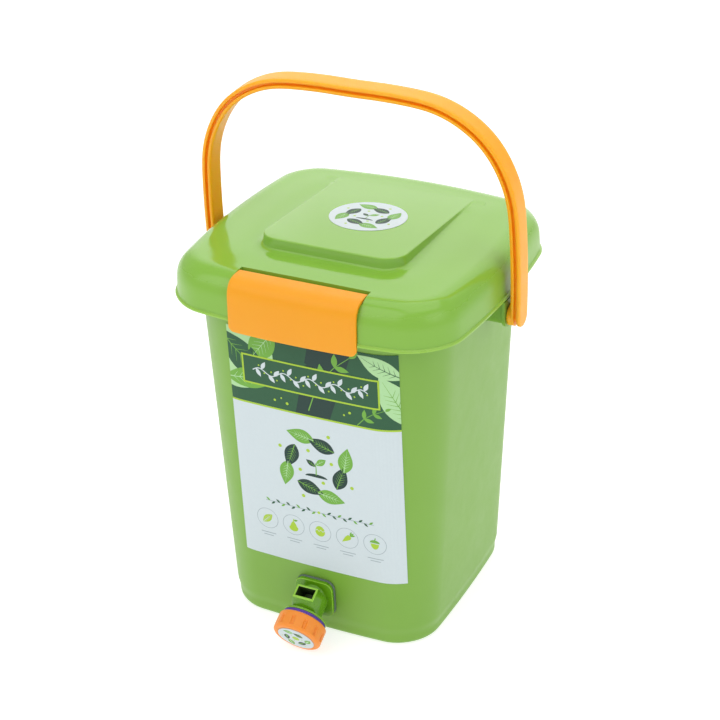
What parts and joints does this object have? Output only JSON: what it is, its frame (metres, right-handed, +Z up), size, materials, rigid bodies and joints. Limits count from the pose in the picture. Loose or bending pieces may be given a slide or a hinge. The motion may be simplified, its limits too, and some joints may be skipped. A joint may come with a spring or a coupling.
{
  "type": "kitchen compost bin",
  "caption": "Tapered square worktop compost bin with a clip-on wedge-topped lid, a bail handle that swings over it, a raised drain grate inside and a turn tap low on the front wall.",
  "frame": {"origin": "middle of the bucket's underside, on the surface that the bin stands on", "axes": "+Z up; -Y is the front, with the latch, the label and the tap; +X is to the right for someone who faces the front"},
  "size_m": [0.282, 0.2754, 0.457],
  "materials": {
    "bucket_plastic": "moulded polypropylene, leaf green, satin with a faint orange peel",
    "lid_plastic": "moulded polypropylene, leaf green, satin with a fine even texture",
    "latch_plastic": "moulded plastic, amber orange, satin",
    "bail_plastic": "moulded plastic, amber orange, satin",
    "tap_plastic": "moulded plastic, deep leaf green, satin",
    "grate_plastic": "moulded plastic, leaf green, matt",
    "knob_plastic": "moulded plastic, orange, satin",
    "ring_rubber": "soft moulded rubber, violet, matt",
    "gasket_rubber": "soft moulded rubber, grey, matt",
    "seal_rubber": "soft silicone rubber, milky",
    "label_film": "printed self-adhesive film, smooth, slightly glossy"
  },
  "bodies": {
    "bin": {"bucket": "bucket_plastic", "drain_grate": "grate_plastic", "front_label": "label_film", "tap_body": "tap_plastic", "tap_gasket": "gasket_rubber", "tap_washer": "gasket_rubber", "tap_nut": "tap_plastic"},
    "lid": {"lid": "lid_plastic", "lid_seal": "seal_rubber", "lid_sticker": "label_film"},
    "latch": {"lid_latch": "latch_plastic"},
    "bail": {"bail_handle": "bail_plastic"},
    "valve": {"valve_plug": "tap_plastic", "knob_seal_ring": "ring_rubber", "tap_knob": "knob_plastic", "knob_sticker": "label_film"}
  },
  "joints": [
    {"name": "lid_lift", "type": "slide", "parent": "bin", "child": "lid", "axis": [0, 0, 1], "range_m": [0, 0.065]},
    {"name": "latch_turn", "type": "hinge", "parent": "lid", "child": "latch", "pos_m": [0, -0.103, 0.3255], "axis": [-1, 0, 0], "range_deg": [0, 85]},
    {"name": "bail_swing", "type": "hinge", "parent": "bin", "child": "bail", "pos_m": [0, 0.0025, 0.279], "axis": [1, 0, 0], "range_deg": [-134, 129]},
    {"name": "tap_turn", "type": "hinge", "parent": "bin", "child": "valve", "pos_m": [0, -0.10557, 0.03733], "axis": [0, -0.8854, -0.4649], "range_deg": [0, 90]}
  ]
}
